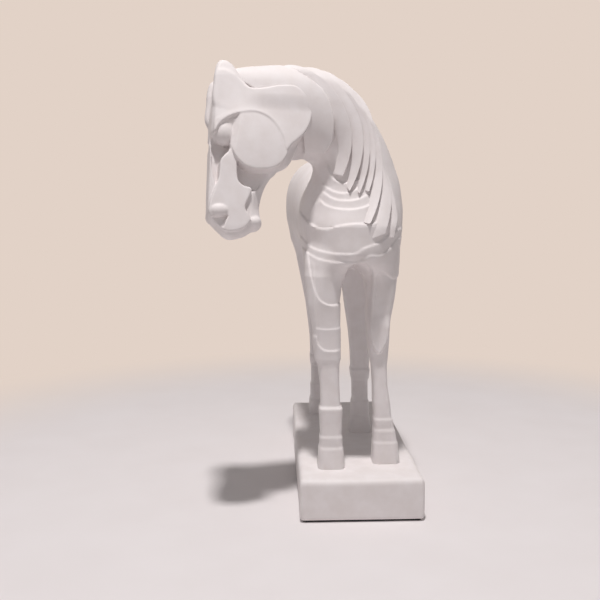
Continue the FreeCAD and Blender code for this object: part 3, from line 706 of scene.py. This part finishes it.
# ---- mane ----------------------------------------------------------------------------------------
# Flat resin locks and a broad strap over the poll, laid like shingles: each starts under the one
# nearer the head and ends in a proud right edge. They are glued to the neck and hang in points.
# Each place is an angle round the neck, 0 at the crest and 90 on the left side, and a share of its length.
STRAP_FRONT = [(-60, 1.17), (20, 1.17), (45, 1.14), (66, 1.0), (91, 0.80), (120, 0.70), (149, 0.637)]
STRAP_BACK = [(-60, 0.90), (10, 0.85), (41, 0.723), (60, 0.62), (82, 0.535), (107, 0.465), (124, 0.455)]
# Right edge at the crest and at the tip, the angle where the left edge leaves the lock before, left tip.
LOCKS = [
    ((36, 0.686), (106, 0.269), 84, (121, 0.302)), ((37, 0.590), (99, 0.188), 91, (103, 0.215)),
    ((39, 0.531), (89, 0.170), 84, (91, 0.180)), ((42, 0.455), (79, 0.170), 77, (82, 0.180)),
    ((43, 0.405), (79, 0.025), 72, (84, 0.035)), ((45, 0.303), (62, -0.035), 63, (75, -0.060)),
    ((40, 0.170), (50, -0.055), 50, (54, -0.060))]
EDGE_THICKNESS = 5.4
START_THICKNESS = 0.8
SUNK = 2.2
NECK_BELOW = 155.0
NECK_PAST = 115.0


def on_neck(share, angle):
    """A point on the neck and the way out of it."""
    cx, cy, cz, lean, half_crest, half_side = [np.interp(share, shares, c) for c in neck_line.T]
    below = np.minimum(share, 0.0) * NECK_BELOW
    past = np.maximum(share - 1.0, 0.0) * NECK_PAST
    cx, cy, cz = cx - 0.93 * past, cy - 0.36 * past, cz + 0.02 * past
    growth = FOOT_GROWTH * np.clip(1 - np.maximum(share, 0) / FOOT_END, 0, 1)
    lean, angle = np.radians(lean), np.radians(angle)
    a, b = half_crest + growth, half_side + growth
    c, s = np.cos(angle), np.sin(angle)
    point = np.stack([cx + np.cos(lean) * a * c, cy - b * s, cz + np.sin(lean) * a * c + below], -1)
    out = np.stack([np.cos(lean) * b * c, -a * s, np.sin(lean) * b * c], -1)
    return point, out / np.linalg.norm(out, axis=-1, keepdims=True)


def lock_tree():
    """Geometry nodes that thicken a lock's footprint on the neck into a closed, rounded slab."""
    made = bpy.data.node_groups.new("thicken a lock", "GeometryNodeTree")
    face = made.interface
    face.new_socket("Footprint", in_out="INPUT", socket_type="NodeSocketGeometry")
    for label, value in (("Edge thickness", EDGE_THICKNESS * MM), ("Start thickness", START_THICKNESS * MM),
                         ("Sunk in the neck", SUNK * MM)):
        face.new_socket(label, in_out="INPUT", socket_type="NodeSocketFloat").default_value = value
    face.new_socket("Rounding", in_out="INPUT", socket_type="NodeSocketInt").default_value = 2
    face.new_socket("Finish", in_out="INPUT", socket_type="NodeSocketMaterial")
    face.new_socket("Lock", in_out="OUTPUT", socket_type="NodeSocketGeometry")
    given = put(made, "NodeGroupInput").outputs

    def result(kind, sockets, **settings):
        return put(made, kind, sockets, **settings).outputs[0]

    outward, across, taper = [
        result("GeometryNodeInputNamedAttribute", {"Name": label}, data_type=kind)
        for label, kind in (("outward", "FLOAT_VECTOR"), ("across", "FLOAT"), ("taper", "FLOAT"))]
    sunk = given["Sunk in the neck"]
    thick = result("ShaderNodeMapRange", {"Value": across, "To Min": given["Start thickness"],
                                          "To Max": given["Edge thickness"]})
    shaped = result("ShaderNodeMath", {0: thick, 1: taper}, operation="MULTIPLY")
    whole = result("ShaderNodeMath", {0: shaped, 1: sunk}, operation="ADD")
    down = result("ShaderNodeMath", {0: sunk, 1: -1.0}, operation="MULTIPLY")
    inward = result("ShaderNodeVectorMath", {0: outward, "Scale": down}, operation="SCALE")
    rise = result("ShaderNodeVectorMath", {0: outward, "Scale": whole}, operation="SCALE")
    bottom = result("GeometryNodeSetPosition", {"Geometry": given["Footprint"], "Offset": inward})
    walls = result("GeometryNodeExtrudeMesh", {"Mesh": bottom, "Offset": rise, "Offset Scale": 1.0,
                                               "Individual": False}, mode="FACES")
    lid = result("GeometryNodeFlipFaces", {"Mesh": bottom})
    both = put(made, "GeometryNodeJoinGeometry")
    made.links.new(walls, both.inputs[0])
    made.links.new(lid, both.inputs[0])
    shell = result("GeometryNodeMergeByDistance", {"Geometry": both.outputs[0], "Distance": 0.01 * MM})
    soft = result("GeometryNodeSubdivisionSurface", {"Mesh": shell, "Level": given["Rounding"]})
    shaded = result("GeometryNodeSetShadeSmooth", {"Geometry": soft})
    real = result("GeometryNodeRealizeInstances", {"Geometry": shaded})
    finished = result("GeometryNodeSetMaterial", {"Geometry": real, "Material": given["Finish"]})
    put(made, "NodeGroupOutput", {"Lock": finished})
    return made


thicken = lock_tree()


def along_edge(points, at):
    """Places along an edge, its points evenly spaced from 0 to 1."""
    points = np.array(points, float)
    along = np.linspace(0, 1, len(points))
    return np.stack([np.interp(at, along, points[:, 0]), np.interp(at, along, points[:, 1])], 1)


FARTHEST_SNAP = 3.0


def lock(name, left, right, node, tip=0.75, start=START_THICKNESS, proud=1.0, hidden=0.0):
    """Lay one footprint on the neck between two edges and thicken it.

    The tip is the share of its thickness left at the end, and hidden the share of its length that
    stays under the lock before."""
    across = np.array([0, 0.04, 0.12, 0.3, 0.5, 0.7, 0.86, 0.95, 1.0])
    along = np.concatenate([[0, 0.008], np.linspace(0.03, 0.97, 34), [0.992, 1.0]])
    left, right = along_edge(left, along), along_edge(right, along)
    mixed = left[:, None] * (1 - across[None, :, None]) + right[:, None] * across[None, :, None]
    spots, out = on_neck(mixed[..., 1].ravel(), mixed[..., 0].ravel())
    for turn in range(SETTLINGS):
        spots = spots - np.clip(body(spots), -FARTHEST_SNAP, FARTHEST_SNAP)[:, None] * out
    rows, wide = len(along), len(across)
    index = np.arange(rows * wide).reshape(rows, wide)
    faces = np.stack([index[:-1, :-1], index[:-1, 1:], index[1:, 1:], index[1:, :-1]], -1).reshape(-1, 4)
    corner = spots[faces[0]]
    if np.dot(np.cross(corner[1] - corner[0], corner[3] - corner[0]), out[0]) < 0:
        faces = faces[:, ::-1]
    footprint = mesh_object(name, spots, faces, white)
    over_crest = step((left[:, 0] + right[:, 0]) / 2 / 75 + 0.1)
    emerging = step((along - hidden) / (0.12 + 0.5 * hidden))
    taper = proud * emerging * (1 - (1 - tip) * along**3) * (0.62 + 0.38 * over_crest)
    for label, kind, values in (("outward", "FLOAT_VECTOR", out.ravel()),
                                ("across", "FLOAT", np.tile(across**0.8, rows)),
                                ("taper", "FLOAT", np.repeat(taper, wide))):
        layer = footprint.data.attributes.new(label, kind, "POINT")
        layer.data.foreach_set("vector" if kind == "FLOAT_VECTOR" else "value", values.astype(np.float32))
    steps = footprint.modifiers.new("thicken", "NODES")
    steps.node_group = thicken
    sockets = {s.name: s.identifier for s in thicken.interface.items_tree if s.in_out == "INPUT"}
    steps[sockets["Finish"]] = white
    steps[sockets["Start thickness"]] = start * MM
    shown = footprint.evaluated_get(bpy.context.evaluated_depsgraph_get())
    plain = bpy.data.meshes.new_from_object(shown)
    footprint.modifiers.clear()
    old = footprint.data
    footprint.data = plain
    bpy.data.meshes.remove(old)
    plain.name = name
    seat(footprint, node)


def past_crest(angle, share):
    """The part of an edge that lies on the neck's far side and comes up to the crest."""
    return [(-55, share + 0.24), (0, share + 0.14), (angle * 0.6, share + 0.055)]


def between(one, other, parts):
    """Evenly spaced places from one to another."""
    return [(one[0] + (other[0] - one[0]) * k / parts, one[1] + (other[1] - one[1]) * k / parts)
            for k in range(parts + 1)]


lock("poll_strap_slab", STRAP_FRONT, STRAP_BACK, "poll_strap", tip=1.3, start=4.0, proud=0.75)
# The upper locks show from the crest down, and the lower ones only come out further along.
UPPER_LOCKS = 5
before = (LOCKS[0][0][0], 0.735), (121.0, 0.455)
for number, (crest, tip, leave, left_tip) in enumerate(LOCKS, start=1):
    (a0, t0), (a1, t1) = before
    leave = min(leave, a1)
    parting = leave, t0 + (t1 - t0) * (leave - a0) / (a1 - a0)
    left = past_crest(crest[0], t0) + between((a0, t0), parting, 3) + between(parting, left_tip, 2)[1:]
    right = past_crest(*crest) + between(crest, tip, 5)
    lock("mane_lock_%d_slab" % number, left, right, "mane_lock_%d" % number,
         hidden=0.42 if number > UPPER_LOCKS else 0.0)
    before = crest, tip

# ---- head ----------------------------------------------------------------------------------------
# The last casting, pinned and glued to the end of the neck. Its sides are built of flat plates: a
# helmet of ear, temple and jowl, a round cheek, and a long nose plate, with deep cuts between them.
# Outlines are in the head's own frame: towards the face, then towards the poll.
turn, roll = math.radians(12.0), math.radians(17.0)
face = np.array([-math.cos(turn), -math.sin(turn), 0.0])
left = np.array([math.sin(turn) * math.cos(roll), -math.cos(turn) * math.cos(roll), math.sin(roll)])
HEAD_FRAME = np.array([-82.9, -98.5, 288.5]), np.stack([face, left, np.cross(face, left)])
SKULL = [
    (-28, -8), (-42, 24), (-42, 34), (-34, 45), (-8, 50), (22, 49.5), (31, 34), (34, 10), (36.5, -16),
    (38.5, -38), (38.5, -51), (32, -60), (25, -67), (14, -67), (4, -61), (-1, -54), (-1, -44), (-6, -29),
    (-15, -17)]
BROW_ARC = [(27, 17.5), (19, 22.5), (8, 25.2), (-1, 25), (-9.5, 21), (-16, 13), (-20, 4)]
BROW = [(31, 11), *BROW_ARC, (-22, -4)]
HELMET = [
    (-22, -4), (-27, 1), (-37, 10), (-43.5, 21), (-45, 32), (-41, 41.5), (-32.5, 48), (-20, 47.8), (-6, 45),
    (4, 46), (11, 52), (18, 58), (26, 58), (29.5, 42), (31, 26), (32, 11), *BROW_ARC]
NOSE = [
    (15, 5), (18.3, 4.5), (21.5, -3), (28, -10), (29.3, -17), (30.8, -25), (36, -37), (38.2, -44),
    (38.5, -51), (32, -59.5), (25.5, -64.5), (15, -63), (8.5, -57.5), (8.5, -53), (11.5, -46), (6, -33),
    (13, -29.5), (16.5, -22)]
EAR = [(-10, 38), (-5, 43.5), (2, 46.5), (7, 52), (11, 60), (15, 67), (20, 70.4), (25, 69), (28, 62.5),
       (29.4, 52), (29.5, 34), (4, 30)]
HEAD_CHART = (-62, -86), (58, 92), 0.5


def outline(points):
    """Distance to a smooth closed outline, negative inside it."""
    line = smooth_line(points, closed=True, per=6)
    area = np.sum(line[:, 0] * np.roll(line[:, 1], -1) - np.roll(line[:, 0], -1) * line[:, 1])
    line = line if area > 0 else line[::-1]

    def distance(x, y):
        far = np.abs(line_distance(line, x, y, closed=True)[0])
        crossings = np.zeros(len(x), bool)
        for (ax, ay), (bx, by) in zip(line, np.roll(line, -1, 0)):
            if ay != by:
                between = (ay > y) != (by > y)
                crossings ^= between & (x < (bx - ax) * (y - ay) / (by - ay) + ax)
        return np.where(crossings, -far, far)
    return chart(*HEAD_CHART, distance)


skull_line, helmet_line, nose_line, ear_line = map(outline, (SKULL, HELMET, NOSE, EAR))
brow_line = chart(*HEAD_CHART, lambda x, y: np.abs(line_distance(smooth_line(BROW), x, y)[0]))
eye_cut = outline([(17, 12), (18.3, 6), (21.5, -3), (28, -10), (29.6, -18), (31.5, -30), (34.6, -14), (34, 0),
                   (33, 12), (26, 13)])
socket_line = outline([(31, 18), (26, 23), (16, 26), (11, 24), (14, 15), (20, 10.5), (27, 9), (30.5, 10)])
jaw_cut = outline([(19.5, -12), (18.8, -24), (13.5, -29.5), (5, -33.5), (-2, -28), (-9, -20), (-2, -12),
                   (8, -10)])
nostril_cut = outline([(37, -54), (31, -52.5), (25, -52.5), (27, -57), (29.5, -63), (34, -59)])


def blob(a, b, c, centre, sizes):
    """Distance to an egg shape."""
    parts = [(v - m) / s for v, m, s in zip((a, b, c), centre, sizes)]
    k = np.sqrt(sum(v * v for v in parts))
    slope = np.sqrt(sum((v / s) ** 2 for v, s in zip(parts, sizes)))
    return k * (k - 1) / np.maximum(slope, 1e-3)


def helmet_rise(f, u):
    """How far the helmet's face stands off the middle: a shallow dome with a raised brow and poll."""
    dome = 18.7 - 0.0020 * (f + 8) ** 2 - 0.0010 * (u - 26) ** 2 + 1.8 * np.exp(-brow_line(f, u) / 6.5)
    return dome + 2.2 * step((u - 27) / 14) * step((12 - f) / 20)


def cheek_disc(f, side, u):
    """The round cheek, bevelled off in front and domed, its top hidden under the helmet's brow."""
    radius = (np.abs(f + 2.0) ** 2.25 + np.abs(u - 3.5) ** 2.25) ** (1 / 2.25)
    disc = radius - 22.0 - 6.0 * step((u + 2) / 14)
    front = ((f - 12) * 0.9835 + (u - 23) * 0.181)
    bevel = (front + (side - 19.2)) * DIAGONAL
    dome = side - 19.7 - 0.04 * (u - 6) + 0.0026 * ((f + 2) ** 2 + (u - 6) ** 2)
    disc = trim(trim(trim(disc, bevel, 0.5), front - 4.5, 0.5), dome, 0.8)
    return np.maximum(disc, -helmet_line(f, u) - 1.2)


def ear(f, n, u):
    """The two ears, the right one standing a little further forward and lower."""
    right = np.where(n < 0, 1.0, 0.0)
    f, u = f - 3.5 * right, u + 7.0 * right
    middle = np.interp(u, [40, 60, 70], [12.6, 12.2, 11.2])
    thick = np.interp(u, [36, 56, 66, 70], [2.6, 4.2, 3.2, 2.4])
    return trim(ear_line(f, u), np.abs(np.abs(n) - middle) - thick, 3.2)


def head(p):
    f, n, u = p.T
    side = np.abs(n)
    # the block between its two flat sides, narrower towards the mouth and chamfered under the throat
    deep = np.interp(u, [-70, -55, -40, -15, 5, 25, 60], [7.0, 8.2, 9.2, 10.6, 12.2, 14.5, 13.0])
    plain = trim(skull_line(f, u), side - deep, 3.0 + 5.0 * step((24 - f) / 10))
    under = (side - 2.5 + 0.95 * skull_line(f, u)) * 0.725
    under = under - 12 * step((f - 8) / 14) - 14 * step((u - 12) / 14) - 12 * step((-53 - u) / 5)
    plain = trim(plain, under, 2.0)
    # the deep cuts in front of the cheek and below it
    plain = trim(plain, -trim(eye_cut(f, u), 3.2 - side, 1.0), 1.2)
    plain = trim(plain, -trim(jaw_cut(f, u), 5.5 - side, 1.5), 1.5)
    # the eye in its socket, and the plates laid over them
    lid = blob(f, side, u, (23.6, 8.2, 12.8), (9.4, 8.4, 10.4))
    socket = trim(socket_line(f, u), side - np.minimum(12.5 + 0.5 * (u - 12), 16.8), 1.5)
    helmet = trim(helmet_line(f, u), side - helmet_rise(f, u), 1.7)
    shape = merge(merge(merge(plain, socket, 2.0), lid, 2.0), helmet, 1.5)
    nose_rise = np.interp(u, [-70, -60, -45, -25, -8], [8.8, 10.6, 12.2, 13.8, 15.4])
    nose = trim(nose_line(f, u), side - nose_rise, 1.4)
    shape = merge(merge(shape, cheek_disc(f, side, u), 0.6), nose, 0.7)
    # the nostril, cut in and filled with a bead, and the chin
    cut = trim(nostril_cut(f, u), 8.6 - side, 0.8)
    shape = merge(trim(shape, -cut, 0.8), blob(f, side, u, (31.3, 9.6, -48.3), (7.4, 4.8, 5.2)), 0.8)
    shape = merge(shape, blob(f, side, u, (4.5, 0.0, -56.5), (6.4, 9.6, 6.0)), 1.5)
    return merge(shape, ear(f, n, u), 4.0)


cast("carved_head", "head_casting", head, (-50, -28, -74), (46, 28, 82), 0.75, frame_of=HEAD_FRAME)

# ---- table, backdrop, lamps and camera -----------------------------------------------------------
# A plain pale table that fades into an even backdrop, under soft light from all round, a small key
# lamp high in front and a weak wide one in front on the left. The camera stands in front, a little
# above the chest.
BACKDROP = "#E2D2C7"
TABLE_HALF = 6000
FADE_START, FADE_END = 330, 620


def any_of(tree, *kinds):
    """1 where a ray is of one of these kinds, otherwise 0."""
    rays = put(tree, "ShaderNodeLightPath").outputs
    found = rays[kinds[0]]
    for kind in kinds[1:]:
        found = put(tree, "ShaderNodeMath", {0: found, 1: rays[kind]}, operation="MAXIMUM").outputs[0]
    return found


# Matt laminate: even and pale, with a 60 mm mottle too faint to draw the eye.
pale, tree, out = material("pale matt laminate")
spot = put(tree, "ShaderNodeTexCoord").outputs["Object"]
mottle = put(tree, "ShaderNodeTexNoise", {"Vector": spot, "Scale": 1 / (60 * MM), "Detail": 2.0})
tone = put(tree, "ShaderNodeValToRGB", {"Fac": mottle.outputs["Fac"]})
tone.color_ramp.elements[0].color = linear("#DDD8D8")
tone.color_ramp.elements[1].color = linear("#E3DFE0")
skin = put(tree, "ShaderNodeBsdfPrincipled", {"Base Color": tone.outputs["Color"], "Roughness": 0.6})
# Away from the statuette the table turns into the even colour of the backdrop, seen and reflected only.
far = put(tree, "ShaderNodeVectorMath", {0: spot}, operation="LENGTH").outputs["Value"]
away = put(tree, "ShaderNodeMapRange", {"Value": far, "From Min": FADE_START * MM, "From Max": FADE_END * MM},
           interpolation_type="SMOOTHSTEP").outputs["Result"]
direct = any_of(tree, "Is Camera Ray", "Is Glossy Ray")
shown = put(tree, "ShaderNodeMath", {0: direct, 1: away}, operation="MULTIPLY").outputs[0]
glow = put(tree, "ShaderNodeEmission", {"Color": linear(BACKDROP), "Strength": 1.0})
both = put(tree, "ShaderNodeMixShader", {0: shown, 1: skin.outputs["BSDF"], 2: glow.outputs["Emission"]})
tree.links.new(both.outputs["Shader"], out.inputs["Surface"])
corners = [(-TABLE_HALF, -TABLE_HALF, 0), (TABLE_HALF, -TABLE_HALF, 0),
           (TABLE_HALF, TABLE_HALF, 0), (-TABLE_HALF, TABLE_HALF, 0)]
floor = mesh_object("table", corners, [(0, 1, 2, 3)], pale)

# Soft light from all round, and the backdrop's own colour where it is seen.
world = bpy.data.worlds.new("soft room light")
world.use_nodes = True
tree = world.node_tree
soft_light = tree.nodes["Background"]
soft_light.inputs["Color"].default_value = linear("#F2F0F2")
soft_light.inputs["Strength"].default_value = 0.27
direct = any_of(tree, "Is Camera Ray", "Is Glossy Ray", "Is Transmission Ray")
backdrop = put(tree, "ShaderNodeBackground", {"Color": linear(BACKDROP), "Strength": 1.0})
both = put(tree, "ShaderNodeMixShader", {0: direct, 1: soft_light.outputs["Background"],
                                         2: backdrop.outputs["Background"]})
tree.links.new(both.outputs["Shader"], tree.nodes["World Output"].inputs["Surface"])
bpy.context.scene.world = world


def stand(name, data, right, up, back, place):
    """Put a lamp or a camera at a place, turned to these axes."""
    holder = bpy.data.objects.new(name, data)
    bpy.context.scene.collection.objects.link(holder)
    holder.matrix_world = Matrix([*np.column_stack([right, up, back, place]).tolist(), [0, 0, 0, 1]])
    return holder


def lamp(name, place, aim, width, power, colour):
    """A square soft lamp, its places in metres."""
    light = bpy.data.lights.new(name, "AREA")
    light.shape, light.size, light.energy, light.color = "SQUARE", width, power, linear(colour)[:3]
    way = np.array(aim, float) - np.array(place, float)
    back = -way / np.linalg.norm(way)
    right = np.cross((0, 0, 1), back)
    right /= np.linalg.norm(right)
    stand(name, light, right, np.cross(back, right), back, place)


lamp("key lamp", (-0.10, -0.50, 1.95), (0.0, -0.03, 0.16), 0.12, 30.0, "#FFFBFA")
lamp("fill lamp", (-0.8, -2.2, 1.0), (-0.03, -0.03, 0.2), 1.4, 2.0, "#FFF4F0")

CAMERA_PLACE = np.array([-66.9, -726.7, 252.0])
pitch, yaw, tilt = math.radians(7.09), math.radians(1.74), math.radians(-0.28)
ahead = np.array([math.sin(yaw) * math.cos(pitch), math.cos(yaw) * math.cos(pitch), -math.sin(pitch)])
level = np.array([math.cos(yaw), -math.sin(yaw), 0.0])
above = np.cross(level, ahead)
right = level * math.cos(tilt) + above * math.sin(tilt)
above = above * math.cos(tilt) - level * math.sin(tilt)
lens = bpy.data.cameras.new("camera")
lens.lens, lens.sensor_width = 48.0, 36.0
lens.clip_start, lens.clip_end = 0.02, 20.0
camera = stand("camera", lens, right, above, -ahead, CAMERA_PLACE * MM)
bpy.context.scene.camera = camera
bpy.context.scene.view_settings.view_transform = "Standard"
